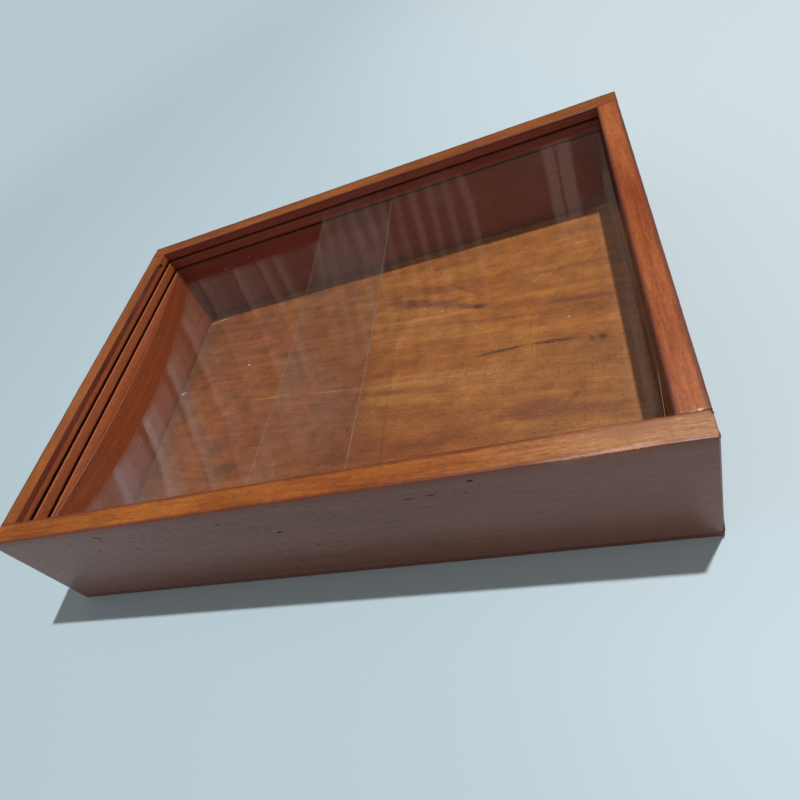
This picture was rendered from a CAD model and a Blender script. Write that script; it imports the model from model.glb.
import math

import bmesh
import bpy
import numpy as np
from mathutils import Euler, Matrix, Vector, noise


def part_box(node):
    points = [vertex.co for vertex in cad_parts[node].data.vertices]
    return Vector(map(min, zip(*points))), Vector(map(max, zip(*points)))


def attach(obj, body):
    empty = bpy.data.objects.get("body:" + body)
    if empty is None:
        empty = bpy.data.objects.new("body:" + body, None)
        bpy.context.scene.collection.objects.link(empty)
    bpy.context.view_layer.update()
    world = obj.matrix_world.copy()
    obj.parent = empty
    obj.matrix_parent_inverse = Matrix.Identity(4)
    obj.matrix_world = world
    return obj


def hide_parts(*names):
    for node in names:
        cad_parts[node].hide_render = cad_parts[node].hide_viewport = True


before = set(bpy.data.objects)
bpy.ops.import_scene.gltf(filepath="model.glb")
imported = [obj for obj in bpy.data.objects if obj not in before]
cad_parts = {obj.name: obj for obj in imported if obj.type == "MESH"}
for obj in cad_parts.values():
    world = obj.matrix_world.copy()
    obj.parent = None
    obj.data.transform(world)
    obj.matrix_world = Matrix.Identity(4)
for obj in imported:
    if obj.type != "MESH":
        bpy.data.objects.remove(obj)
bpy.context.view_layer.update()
mm = 0.001
print("frame loaded:", len(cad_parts), "solids")


# The camera stands close before the front right corner, looks down over it and leans to the left
shot = {
    "place": (0.21002, -0.35780, 0.35539),
    "turnDegrees": (42.036, 22.627, 5.547),
    "lens": 27.365,
    "sensor": 36.0,
}


def placeCamera():
    data = bpy.data.cameras.new("shotCamera")
    data.lens = shot["lens"]
    data.sensor_width = shot["sensor"]
    data.clip_start = 0.01
    data.clip_end = 60.0
    camera = bpy.data.objects.new("shotCamera", data)
    camera.location = shot["place"]
    camera.rotation_euler = Euler([math.radians(a) for a in shot["turnDegrees"]])
    bpy.context.scene.collection.objects.link(camera)
    bpy.context.scene.camera = camera


placeCamera()
bpy.context.scene.view_settings.view_transform = "Standard"
print("camera placed")


# Case sizes in millimetres, as the solids have them
case = {
    "halfLength": 245.0,
    "halfWidth": 180.0,
    "height": 98.0,
    "sheet": 5.0,
    "board": 17.0,
    "grooveDepth": 6.0,
    "grooves": ((74.6, 77.8), (86.5, 89.7)),
    "grooveStop": 234.0,
}
innerHalfWidth = case["halfWidth"] - case["board"]


def tone(red, green, blue):
    def linear(c):
        c = c / 255
        return c / 12.92 if c <= 0.04045 else ((c + 0.055) / 1.055) ** 2.4

    return (linear(red), linear(green), linear(blue), 1.0)


class Value:  # a socket; sums on it add their Math nodes
    def __init__(self, finish, socket):
        self.finish = finish
        self.socket = socket

    def sum(self, operation, first, second=0.0):
        settings = {"operation": operation}
        return self.finish.node("ShaderNodeMath", settings, {0: first, 1: second})

    def __add__(self, other):
        return self.sum("ADD", self, other)

    def __radd__(self, other):
        return self.sum("ADD", other, self)

    def __sub__(self, other):
        return self.sum("SUBTRACT", self, other)

    def __rsub__(self, other):
        return self.sum("SUBTRACT", other, self)

    def __mul__(self, other):
        return self.sum("MULTIPLY", self, other)

    def __rmul__(self, other):
        return self.sum("MULTIPLY", other, self)

    def __truediv__(self, other):
        return self.sum("DIVIDE", self, other)

    def __rtruediv__(self, other):
        return self.sum("DIVIDE", other, self)

    def __pow__(self, other):
        return self.sum("POWER", self, other)

    def __abs__(self):
        return self.sum("ABSOLUTE", self)

    def sine(self):
        return self.sum("SINE", self)

    def orMore(self, other):
        return self.sum("MAXIMUM", self, other)

    def orLess(self, other):
        return self.sum("MINIMUM", self, other)

    def step(self, start, end, low=0.0, high=1.0):  # eased from low to high
        settings = {"interpolation_type": "SMOOTHSTEP"}
        values = {0: self, 1: start, 2: end, 3: low, 4: high}
        return self.finish.node("ShaderNodeMapRange", settings, values)


class Finish:  # one material and the nodes that make it
    def __init__(self, name):
        self.material = bpy.data.materials.new(name)
        self.material.use_nodes = True
        self.tree = self.material.node_tree
        self.tree.nodes.clear()

    def node(self, kind, settings=None, values=None, out=0):
        made = self.tree.nodes.new(kind)
        for key, value in (settings or {}).items():
            if key == "stops":
                ramp = made.color_ramp.elements
                while len(ramp) < len(value):
                    ramp.new(0.5)
                for element, (position, colour) in zip(ramp, value):
                    element.position = position
                    element.color = colour
            else:
                setattr(made, key, value)
        for key, value in (values or {}).items():
            if isinstance(value, Value):
                self.tree.links.new(value.socket, made.inputs[key])
            else:
                made.inputs[key].default_value = value
        return Value(self, made.outputs[out])

    def place(self):  # object coordinates in millimetres
        coordinates = self.node("ShaderNodeTexCoord", out="Object")
        return self.scaled(coordinates, 1000.0, 1000.0, 1000.0)

    def axes(self, vector):
        split = self.node("ShaderNodeSeparateXYZ", None, {0: vector})
        node = split.socket.node
        return [Value(self, node.outputs[i]) for i in range(3)]

    def vector(self, x, y, z):
        return self.node("ShaderNodeCombineXYZ", None, {0: x, 1: y, 2: z})

    def scaled(self, vector, x, y, z):
        settings = {"operation": "MULTIPLY"}
        return self.node("ShaderNodeVectorMath", settings, {0: vector, 1: (x, y, z)})

    def noise(self, vector, scale, detail=3.0, roughness=0.5):
        values = {"Vector": self.scaled(vector, *scale), "Scale": 1.0}
        values.update({"Detail": detail, "Roughness": roughness})
        return self.node("ShaderNodeTexNoise", {"noise_dimensions": "3D"}, values)

    def cells(self, vector, scale):  # distance to the nearest cell's point, and its own number
        values = {"Vector": self.scaled(vector, *scale), "Scale": 1.0, "Randomness": 1.0}
        distance = self.node("ShaderNodeTexVoronoi", {"feature": "F1"}, values)
        colour = Value(self, distance.socket.node.outputs["Color"])
        return distance, self.axes(colour)[0]

    def pores(self, vector, scale, reach, share):
        # dots where a cell's point is near, in those cells whose number falls in the share
        distance, own = self.cells(vector, scale)
        return distance.step(*reach) * own.step(*share)

    def mix(self, factor, first, second, blend="MIX"):
        settings = {"data_type": "RGBA", "blend_type": blend}
        return self.node("ShaderNodeMix", settings, {0: factor, 6: first, 7: second}, 2)

    def read(self, name):  # a number kept on the mesh
        return self.node("ShaderNodeAttribute", {"attribute_name": name}, out="Fac")

    def bump(self, height, depth):
        values = {"Height": height, "Distance": depth * mm, "Strength": 1.0}
        return self.node("ShaderNodeBump", None, values)

    def spot(self, place, centre, half, turn, soft=0.35):
        # 1 inside a turned ellipsoid with these half sizes, fading over its edge
        values = {"Vector": place, "Location": centre, "Scale": half}
        values["Rotation"] = [math.radians(a) for a in turn]
        local = self.node("ShaderNodeMapping", {"vector_type": "TEXTURE"}, values)
        settings = {"operation": "LENGTH"}
        away = self.node("ShaderNodeVectorMath", settings, {0: local}, "Value")
        return away.step(1.0 + soft, 1.0 - soft)

    def finish(self, shader):
        end = self.tree.nodes.new("ShaderNodeOutputMaterial")
        self.tree.links.new(shader.socket, end.inputs["Surface"])
        return self.material

    def spots(self, place, marks, turnAxis="z", depth=400.0):
        # the strongest of several marks: centre, half sizes, turn in degrees, strength
        found = None
        for centre, (long, wide), angle, strength, soft in marks:
            if turnAxis == "z":
                half, turn = (long, wide, depth), (0.0, 0.0, angle)
            elif turnAxis == "y":
                half, turn = (long, depth, wide), (0.0, -angle, 0.0)
            else:
                half, turn = (depth, long, wide), (angle, 0.0, 0.0)
            mark = self.spot(place, centre, half, turn, soft) * strength
            found = mark if found is None else found.orMore(mark)
        return found


# Stained and varnished boards. Tones are the wood under the varnish
boardLook = {
    "dark": tone(82, 38, 20),
    "middle": tone(124, 66, 35),
    "light": tone(158, 92, 50),
    "pore": tone(38, 17, 11),
    "worn": tone(196, 132, 86),
    "lipTone": tone(196, 124, 84),
    "planedTone": tone(104, 38, 12),
    "endTone": tone(84, 36, 20),
    "outerTone": tone(112, 60, 46),
    "footTone": tone(140, 88, 74),
    "endsTone": tone(150, 108, 104),
    "ringGap": 7.5,  # mm
    "heart": (-12.0, -96.0),  # mm, the middle of the rings, across and deep
    "driftAcross": 7.0,  # mm, how far the fibres wander
    "driftDeep": 5.0,
    "scales": {  # per mm along the fibres, across and deep
        "drift": (0.004, 0.02, 0.02),
        "fibre": (0.03, 0.50, 0.50),
        "grit": (0.24, 0.62, 0.62),
        "blotch": (0.009, 0.035, 0.035),
        "pore": (0.10, 1.9, 1.9),
        "smallPore": (0.20, 3.0, 3.0),
    },
    "ringStrength": 0.07,
    "fibreStrength": 0.30,
    "gritStrength": 0.30,
    "blotchStrength": 0.22,
    "rimShare": 0.80,
    "outerShare": 0.34,
    "footShare": 0.30,
    "endsShare": 0.24,
    "footReach": (50.0, 6.0),  # mm above the ground, where the foot turns paler
    "endsReach": (40.0, 240.0),  # mm from the middle, where the outside turns greyer
    "sparseReach": (0.0, 160.0),  # mm right of the middle, where the pores thin out
    "sparseShare": 0.6,
    "poreShare": 0.62,
    "smallPoreShare": 0.36,
    "plainContrast": 0.26,
    "rimContrast": 0.50,
    "insideContrast": 0.24,
    "fibreContrast": 1.0,
    "gritContrast": 1.3,
    "roughness": 0.36,
    "coat": 0.06,
}


def woodGrain(finish, grain, seed, look):
    # grain is a place in mm whose first axis runs along the fibres
    scales = look["scales"]
    along, across, deep = finish.axes(grain)
    shifted = finish.vector(along + 311.0 * seed, across + 71.0 * seed, deep - 53.0 * seed)
    drift = finish.noise(shifted, scales["drift"], 2.0) - 0.5
    bentAcross = across + drift * look["driftAcross"]
    bentDeep = deep + drift * look["driftDeep"]
    heartAcross, heartDeep = look["heart"]
    away = ((bentAcross - heartAcross) ** 2 + (bentDeep - heartDeep) ** 2) ** 0.5
    rings = (away * (2 * math.pi / look["ringGap"])).sine() * 0.5 + 0.5
    fine = finish.vector(along + 97.0 * seed, bentAcross, bentDeep)
    fibre = finish.noise(fine, scales["fibre"], 4.0, 0.66)
    grit = finish.noise(fine, scales["grit"], 3.0, 0.75)
    blotch = finish.noise(shifted, scales["blotch"], 3.0, 0.55)
    pore = finish.pores(fine, scales["pore"], (0.34, 0.12), (0.5, 0.7))
    smallPore = finish.pores(fine, scales["smallPore"], (0.40, 0.15), (0.3, 0.5))
    return rings, fibre, grit, blotch, pore, smallPore


def boardFinish(name, board, endGrain=False, look=boardLook):
    finish = Finish(name)
    place = finish.place()
    x, y, z = finish.axes(place)
    grain = finish.vector(y, x, z) if board["alongY"] else finish.vector(x, y, z)
    rings, fibre, grit, blotch, pore, smallPore = woodGrain(finish, grain, board["seed"], look)
    shade = 0.5 + (rings - 0.5) * look["ringStrength"]
    shade = shade + (fibre - 0.5) * (look["fibreStrength"] * 2)
    shade = shade + (grit - 0.5) * look["gritStrength"]
    shade = shade + (blotch - 0.5) * (look["blotchStrength"] * 2)
    stops = [(0.12, look["dark"]), (0.5, look["middle"]), (0.9, look["light"])]
    colour = finish.node("ShaderNodeValToRGB", {"stops": stops}, {0: shade}, "Color")
    wear = finish.read("wear")
    lip = finish.read("lip")
    groove = finish.read("groove")
    rim = finish.read("rim")
    inside = finish.read("inside")
    planed = finish.read("planed")
    speckle = finish.noise(place, (0.9, 0.9, 0.9), 3.0, 0.6)
    broad = finish.noise(place, (0.05, 0.05, 0.05), 2.0)
    colour = finish.mix(inside * board["insideShare"], colour, board["insideTone"])
    deepTone, brightTone = board["rimTones"]
    rimTone = finish.mix((fibre * 0.2 + blotch * 0.8).step(0.32, 0.66), deepTone, brightTone)
    colour = finish.mix(rim * look["rimShare"], colour, rimTone)
    outer = (1.0 - rim) * (1.0 - inside)
    colour = finish.mix(outer * look["outerShare"], colour, look["outerTone"])
    foot = outer * z.step(*look["footReach"]) * (blotch * 0.6 + fibre * 0.4).step(0.3, 0.6, 0.6, 1.0)
    colour = finish.mix(foot * look["footShare"], colour, look["footTone"])
    ends = outer * abs(x).step(*look["endsReach"])
    colour = finish.mix(ends * look["endsShare"], colour, look["endsTone"])
    if board["rimShift"] is not None:
        # the rim is worn paler towards one end
        shift = board["rimShift"]
        paler = x.step(shift["from"], shift["to"]) * rim * shift["strength"]
        paler = paler * (grit * 0.7 + fibre * 0.5).step(0.45, 0.75, 0.45, 1.0)
        colour = finish.mix(paler, colour, shift["tone"])
    contrast = (fibre - 0.5) * look["fibreContrast"] + (grit - 0.5) * look["gritContrast"]
    shown = look["plainContrast"] + rim * look["rimContrast"] + inside * look["insideContrast"]
    contrast = 1.0 + contrast * shown
    colour = finish.mix(1.0, colour, finish.vector(contrast, contrast, contrast), "MULTIPLY")
    shadow = planed * (blotch * 0.6 + speckle * 0.4).step(0.36, 0.60, 0.35, 1.0)
    colour = finish.mix(shadow, colour, look["planedTone"])
    # pores show most on the upright faces, and less towards the right
    poreMask = (pore * look["poreShare"]).orMore(smallPore * look["smallPoreShare"])
    poreMask = poreMask * (1.0 - rim * 0.2)
    poreMask = poreMask * (1.0 - outer * x.step(*look["sparseReach"]) * look["sparseShare"])
    colour = finish.mix(poreMask, colour, look["pore"])
    colour = finish.mix(finish.read("arris") * board["arrisShare"], colour, board["arrisTone"])
    worn = wear * speckle.step(0.42, 0.62) * broad.step(0.35, 0.6, 0.25, 1.0)
    colour = finish.mix(worn * 0.7, colour, look["worn"])
    lipMask = lip * speckle.step(0.3, 0.55, 0.35, 0.9) * board["lipShare"]
    colour = finish.mix(lipMask, colour, look["lipTone"])
    colour = finish.mix(groove * 0.9, colour, board["grooveTone"])
    rough = fibre * 0.14 + grit * 0.1 + (look["roughness"] - 0.12)
    rough = rough + poreMask * 0.25 + worn * 0.3 + groove * 0.35 + lip * 0.2
    height = fibre * 0.30 + grit * 0.22 - poreMask * 0.5 + speckle * 0.12
    hollow = (poreMask * outer * 0.5).orMore(inside * board["dull"])
    for kind, shape, colourOf, depth in board["marks"]:
        mark = finish.spots(place, shape, kind, 6.0)
        mark = mark * (grit * 0.5 + speckle * 0.5).step(0.32, 0.55, 0.35, 1.0)
        if depth > 1.0:
            hollow = hollow.orMore(mark)
        colour = finish.mix(mark, colour, colourOf)
        rough = rough + mark * 0.3
        height = height - mark * depth
    if endGrain:
        colour = finish.mix(0.72, colour, look["endTone"])
        rough = rough + 0.15
    swell = finish.noise(grain, (0.02, 0.09, 0.09), 2.0)
    normal = finish.bump(height * 0.16 + swell * 0.45, 0.5)
    values = {"Base Color": colour, "Roughness": rough, "Normal": normal}
    values.update({"Coat Weight": look["coat"], "Coat Roughness": 0.2, "IOR": 1.5})
    shader = finish.node("ShaderNodeBsdfPrincipled", None, values)
    # no varnish shines down in the pits
    bare = finish.node("ShaderNodeBsdfDiffuse", None, {"Color": look["pore"], "Roughness": 0.9})
    return finish.finish(finish.node("ShaderNodeMixShader", None, {0: hollow, 1: shader, 2: bare}))


# What each board's outline does along its length, in millimetres
edgeLook = {
    "step": 2.5,  # between stations
    "outerArris": 0.8,
    "innerArris": 0.6,
    "lowArris": 0.2,
    "jointArris": 0.12,  # where a long board covers a side board's end
    "lipRound": 0.3,
    "wave": 0.16,  # a planed face is never quite flat
    "planedDrop": 3.0,
    "planedDepth": 1.5,
    "planedWander": 1.2,  # how unevenly the plane stopped
    "planedEase": 2.5,
    "sharpDegrees": 38.0,
}


def ripple(a, b, seed):
    return noise.noise(Vector((a, b, seed * 7.31)))


def arc(centreA, centreB, radius, start, end, count):
    angles = np.radians(np.linspace(start, end, count))
    return [(centreA + radius * math.cos(t), centreB + radius * math.sin(t)) for t in angles]


def between(a, b, count):
    return list(np.linspace(a, b, count + 2)[1:-1])


def boardSection(station, board):
    # one outline across a board: depth from its outer face, height, and what each point is
    thick = case["board"]
    low, high = case["sheet"], case["height"]
    seed = board["seed"]
    rub = ripple(station / 23, 0.3, seed) + 0.6 * ripple(station / 6, 2.1, seed)
    outer = edgeLook["outerArris"] * (1 + 0.5 * rub)
    for start, end, extra in board["rubbed"]:
        if start < station < end:
            ease = math.sin(math.pi * (station - start) / (end - start)) ** 0.5
            outer += extra * ease * (0.7 + 0.6 * abs(ripple(station / 3, 5.0, seed)))
    inner = edgeLook["innerArris"] * (1 + 0.4 * ripple(station / 17, 4.2, seed))
    if abs(station) > board["innerEnd"]:
        inner = edgeLook["jointArris"]
    points = []

    def add(found, kind):
        points.extend((v, z, kind) for v, z in found)

    foot = edgeLook["lowArris"]
    add(arc(foot, low + foot, foot, 270, 180, 3), "outer")
    add([(0.0, z) for z in between(low + foot, high - outer, 12)], "outer")
    add(arc(outer, high - outer, outer, 180, 90, 5), "outerArris")
    add([(v, high) for v in between(outer, thick - inner, 6)], "top")
    rounded = arc(thick - inner, high - inner, inner, 90, 0, 6)
    planed = 0.0
    if board["planedTo"] is not None:
        edge = board["planedTo"] + edgeLook["planedWander"] * ripple(station / 4, 9.0, seed)
        planed = min(max((edge - station) / edgeLook["planedEase"], 0.0), 1.0)
    shape = []
    drop = edgeLook["planedDrop"] * (1 + 0.12 * ripple(station / 30, 1.0, seed))
    for i, (v, z) in enumerate(rounded):
        t = i / 5
        flatV = thick - edgeLook["planedDepth"] * (1 - t) ** 0.9
        flatZ = high - drop * t ** 1.1
        shape.append((v + (flatV - v) * planed, z + (flatZ - z) * planed))
    add(shape, "planed" if planed > 0.5 else "innerArris")
    last = shape[-1][1]
    (lowerFloor, lowerRoof), (upperFloor, upperRoof) = case["grooves"]

    def groove(floorZ, roofZ):
        chip = abs(ripple(station / 5, floorZ, seed)) + 0.8 * abs(ripple(station / 1.7, roofZ, seed))
        lip = edgeLook["lipRound"] * (0.6 + 1.1 * chip)
        isCut = abs(station) < board["grooveStop"]
        deep = thick - (case["grooveDepth"] if isCut else 0.0)
        turn = 0.0 if isCut else 0.5
        add([(thick, roofZ + lip)], "inner")
        add([(thick - lip * 0.3 * isCut, roofZ + lip * 0.3)], "lip")
        add([(thick - lip * isCut, roofZ)], "lip")
        add([(deep, roofZ - turn), (deep, floorZ + turn)], "groove")
        add([(thick - lip * isCut, floorZ)], "lip")
        add([(thick - lip * 0.3 * isCut, floorZ - lip * 0.3)], "lip")
        add([(thick, floorZ - lip)], "inner")
        return floorZ - lip

    add([(thick, z) for z in between(last, upperRoof + 1.0, 3)], "inner")
    last = groove(upperFloor, upperRoof)
    add([(thick, z) for z in between(last, lowerRoof + 1.0, 3)], "inner")
    last = groove(lowerFloor, lowerRoof)
    add([(thick, z) for z in between(last, low + foot, 9)], "inner")
    add(arc(thick - foot, low + foot, foot, 0, -90, 3), "inner")
    add([(v, low) for v in between(thick - foot, foot, 2)], "under")

    moved = []
    wave = edgeLook["wave"]
    for v, z, kind in points:
        if kind in ("outer", "outerArris"):
            v += wave * (0.5 + 0.5 * ripple(station / 55, z / 30, seed))
        if kind in ("top", "outerArris", "innerArris", "planed"):
            z -= wave * (0.5 + 0.5 * ripple(station / 40, v / 14, seed + 3))
        if kind in ("inner", "lip", "innerArris", "planed"):
            v -= 0.6 * wave * (0.5 + 0.5 * ripple(station / 50, z / 30, seed + 5))
        moved.append((v, z, kind))
    return moved


def inset(points, amount):
    flat = np.array([(v, z) for v, z, kind in points])
    ahead, behind = np.roll(flat, -1, 0), np.roll(flat, 1, 0)
    run = ahead - behind
    run /= np.maximum(np.linalg.norm(run, axis=1), 1e-9)[:, None]
    inward = np.stack([run[:, 1], -run[:, 0]], 1)
    area = np.sum(flat[:, 0] * ahead[:, 1] - ahead[:, 0] * flat[:, 1])
    if area > 0:
        inward = -inward
    flat = flat + inward * amount
    return [(v, z, point[2]) for (v, z), point in zip(flat, points)]


def boardStations(board):
    half, step = board["half"], edgeLook["step"]
    start, end = board["endRounds"]
    stations = []
    for share in (0.0, 0.15, 0.5):
        bend = 1 - math.sqrt(1 - (1 - share) ** 2)
        stations.append((-half + share * start, bend * start))
        stations.append((half - share * end, bend * end))
    inside = list(np.arange(-half + start + 0.2, half - end - 0.1, step))
    stops = []
    for edge in (board["grooveStop"], board["innerEnd"]):
        if edge < half:
            stops += [-edge - 0.02, -edge + 0.02, edge - 0.02, edge + 0.02]
    inside = [s for s in inside if all(abs(s - e) > 0.3 for e in stops)] + stops
    return sorted(stations + [(s, 0.0) for s in inside])


def makeBoard(name, board, materials):
    rows, kinds, edgeWear = [], [], []
    for station, pull in boardStations(board):
        section = boardSection(station, board)
        if pull > 0:
            section = inset(section, pull)
        rub = ripple(station / 9, 1.7, board["seed"] + 11)
        grind = 0.0
        for start, end, extra in board["rubbed"]:
            if start < station < end:
                grind = math.sin(math.pi * (station - start) / (end - start)) ** 0.5
        for v, z, kind in section:
            rows.append([c * mm for c in board["place"](station, v, z)])
            kinds.append(kind)
            edgeWear.append(min(1.0, max(0.3 * rub, 0.0) + grind * (0.7 + 0.5 * rub)))
    count = len(section)
    total = len(rows) // count
    faces = []
    for i in range(total - 1):
        for j in range(count):
            k = (j + 1) % count
            faces.append((i * count + j, i * count + k, (i + 1) * count + k, (i + 1) * count + j))
    faces.append(tuple(range(count)))
    faces.append(tuple(range((total - 1) * count, total * count)))
    mesh = bpy.data.meshes.new(name)
    mesh.from_pydata(rows, [], faces)
    arris = {"outerArris": 1.0, "innerArris": 0.8}
    marked = {"wear": [arris.get(kind, 0.0) * max(w, 0.0) for kind, w in zip(kinds, edgeWear)]}
    marked["arris"] = [arris.get(kind, 0.0) for kind in kinds]
    for key, kind in (("lip", "lip"), ("groove", "groove"), ("rim", "top"), ("planed", "planed")):
        marked[key] = [float(k == kind) for k in kinds]
    marked["inside"] = [float(k in ("inner", "innerArris", "lip")) for k in kinds]
    for key, found in marked.items():
        mesh.attributes.new(key, "FLOAT", "POINT").data.foreach_set("value", found)
    for material in materials:
        mesh.materials.append(material)
    work = bmesh.new()
    work.from_mesh(mesh)
    work.faces.ensure_lookup_table()
    for cap in work.faces[-2:]:
        cap.material_index = len(materials) - 1
    bmesh.ops.recalc_face_normals(work, faces=work.faces[:])
    work.to_mesh(mesh)
    work.free()
    mesh.shade_smooth()
    mesh.set_sharp_from_angle(angle=math.radians(edgeLook["sharpDegrees"]))
    piece = bpy.data.objects.new(name, mesh)
    bpy.context.scene.collection.objects.link(piece)
    return piece


rimZ = case["height"]
frontY = -case["halfWidth"]
wallY = innerHalfWidth
# Marks on the boards: centre, half length and half width, turn, strength, softness
boardMarks = {
    # dried filler along the front right seam
    "seam": [
        ((239.6, -162.6, rimZ), (1.3, 0.7), 6.0, 1.0, 0.5),
        ((236.0, -163.0, rimZ), (1.4, 0.3), 4.0, 0.5, 0.5),
    ],
    # a rubbed, pale strip along the front edge
    "frontEdge": [
        ((182.0, -179.2, rimZ), (20.0, 0.6), 0.4, 0.35, 0.6),
        ((202.0, -178.6, rimZ), (15.0, 0.9), 0.8, 0.6, 0.6),
        ((212.0, -177.8, rimZ), (6.0, 1.2), 3.0, 0.4, 0.7),
    ],
    "rimStreak": [((207.0, -168.0, rimZ), (17.0, 4.5), 2.0, 0.75, 0.9)],
    "topPits": [
        ((156.0, -168.5, rimZ), (0.9, 0.4), 10.0, 0.6, 0.4),
        ((96.0, -171.0, rimZ), (0.7, 0.35), 0.0, 0.45, 0.4),
    ],
    "pits": [
        ((-150.6, frontY, 87.9), (2.4, 0.45), -12.0, 1.0, 0.4),
        ((-147.4, frontY, 86.0), (2.0, 0.4), 4.0, 0.9, 0.4),
        ((-162.3, frontY, 70.4), (0.6, 0.8), 0.0, 0.9, 0.4),
        ((-122.1, frontY, 81.6), (1.4, 0.4), 0.0, 0.7, 0.4),
        ((-113.2, frontY, 79.5), (1.1, 0.35), 0.0, 0.6, 0.4),
        ((-130.0, frontY, 66.5), (1.4, 0.4), 0.0, 0.6, 0.4),
        ((-49.3, frontY, 83.0), (1.7, 0.45), 0.0, 0.65, 0.4),
        ((-13.1, frontY, 64.6), (2.5, 0.65), 0.0, 0.85, 0.4),
        ((4.7, frontY, 43.9), (1.3, 0.55), 0.0, 0.8, 0.4),
        ((32.5, frontY, 76.3), (1.6, 0.4), 0.0, 0.65, 0.4),
        ((83.8, frontY, 82.3), (3.4, 0.42), 3.0, 0.7, 0.5),
        ((97.0, frontY, 83.0), (2.9, 0.42), -3.0, 0.7, 0.5),
        ((117.2, frontY, 80.6), (1.4, 0.4), 0.0, 0.6, 0.4),
        ((122.8, frontY, 91.5), (1.8, 0.7), 8.0, 0.8, 0.4),
    ],
    "wallSpecks": [
        ((-173.4, wallY, 59.2), (1.5, 1.0), 0.0, 1.0, 0.4),
        ((-162.7, wallY, 55.8), (1.5, 0.8), 0.0, 0.9, 0.4),
        ((-138.6, wallY, 65.0), (0.9, 0.9), 0.0, 0.9, 0.4),
        ((-73.5, wallY, 74.2), (0.9, 0.6), 0.0, 0.8, 0.4),
    ],
    "hollow": [((-229.4, 147.6, 95.0), (2.4, 1.6), 0.0, 1.0, 0.35)],
    "stains": [
        ((-231.0, 60.0, 96.5), (17.0, 1.1), 0.0, 0.9, 0.5),
        ((-230.5, -8.0, 96.5), (11.0, 0.9), 0.0, 0.8, 0.5),
        ((-230.0, 122.0, 96.5), (20.0, 1.0), 0.0, 0.9, 0.5),
    ],
}

# What most boards share
plainBoard = {
    "rubbed": [],  # stretches of the outer arris: from, to, how much rounder
    "planedTo": None,
    "rimShift": None,
    "grooveTone": tone(40, 15, 9),
    "lipShare": 1.0,
    "arrisTone": tone(70, 30, 16),
    "arrisShare": 0.55,
    "dull": 0.0,
}
longBoard = {
    "half": case["halfLength"],
    "innerEnd": case["halfLength"] - case["board"],
    "grooveStop": case["grooveStop"],
    "alongY": False,
}
sideBoard = {
    "half": innerHalfWidth,
    "innerEnd": 400.0,  # past its ends, so its inside runs right through
    "grooveStop": 400.0,
    "endRounds": (0.2, 0.2),
    "alongY": True,
}

boards = {
    "frontBoard": {
        **plainBoard, **longBoard, "node": "front_board", "seed": 1.0,
        "place": lambda s, v, z: (s, v - case["halfWidth"], z),
        "endRounds": (0.5, 2.2),
        "rubbed": [(160.0, 222.0, 0.4)],
        "rimTones": (tone(147, 76, 26), tone(191, 114, 42)),
        "rimShift": {"from": 100.0, "to": 250.0, "strength": 0.8, "tone": tone(183, 138, 95)},
        "insideTone": tone(120, 56, 28),
        "insideShare": 0.4,
        "arrisTone": tone(120, 52, 24),
        "marks": [
            ("z", boardMarks["rimStreak"], tone(146, 86, 48), 0.1),
            ("z", boardMarks["frontEdge"], tone(226, 172, 148), 0.5),
            ("z", boardMarks["seam"], tone(222, 196, 170), 0.6),
            ("z", boardMarks["topPits"], tone(30, 16, 14), 0.9),
            ("y", boardMarks["pits"], tone(24, 13, 12), 2.5),
        ],
    },
    "backBoard": {
        **plainBoard, **longBoard, "node": "back_board", "seed": 2.0,
        "place": lambda s, v, z: (s, case["halfWidth"] - v, z),
        "endRounds": (0.5, 0.5),
        "rimTones": (tone(133, 69, 27), tone(170, 100, 44)),
        "insideTone": tone(150, 68, 60),
        "insideShare": 0.7,
        "grooveTone": tone(120, 66, 52),
        "lipShare": 0.7,
        "marks": [("y", boardMarks["wallSpecks"], tone(206, 160, 140), -0.5)],
    },
    "leftBoard": {
        **plainBoard, **sideBoard, "node": "left_board", "seed": 3.0,
        "place": lambda s, v, z: (v - case["halfLength"], s, z),
        "planedTo": 148.0,
        "rimTones": (tone(144, 74, 31), tone(185, 111, 50)),
        "insideTone": tone(205, 110, 60),
        "insideShare": 0.75,
        "marks": [
            ("x", boardMarks["stains"], tone(70, 22, 8), 0.3),
            ("x", boardMarks["hollow"], tone(18, 9, 7), 3.0),
        ],
    },
    "rightBoard": {
        **plainBoard, **sideBoard, "node": "right_board", "seed": 4.0,
        "place": lambda s, v, z: (case["halfLength"] - v, s, z),
        "rimTones": (tone(151, 68, 28), tone(183, 103, 52)),
        "insideTone": tone(60, 26, 42),
        "insideShare": 0.85,
        "grooveTone": tone(34, 14, 10),
        "lipShare": 0.15,
        "arrisTone": tone(110, 46, 24),
        "arrisShare": 0.5,
        "dull": 0.12,  # its face turns dark where it is seen aslant
        "marks": [("z", boardMarks["seam"], tone(222, 196, 170), 0.6)],
    },
}

for pieceName, board in boards.items():
    materials = [
        boardFinish("varnished" + pieceName[0].upper() + pieceName[1:], board),
        boardFinish(pieceName + "EndGrain", board, endGrain=True),
    ]
    piece = makeBoard(pieceName, board, materials)
    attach(piece, "case")
    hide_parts(board["node"])
print("four boards made")


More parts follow.
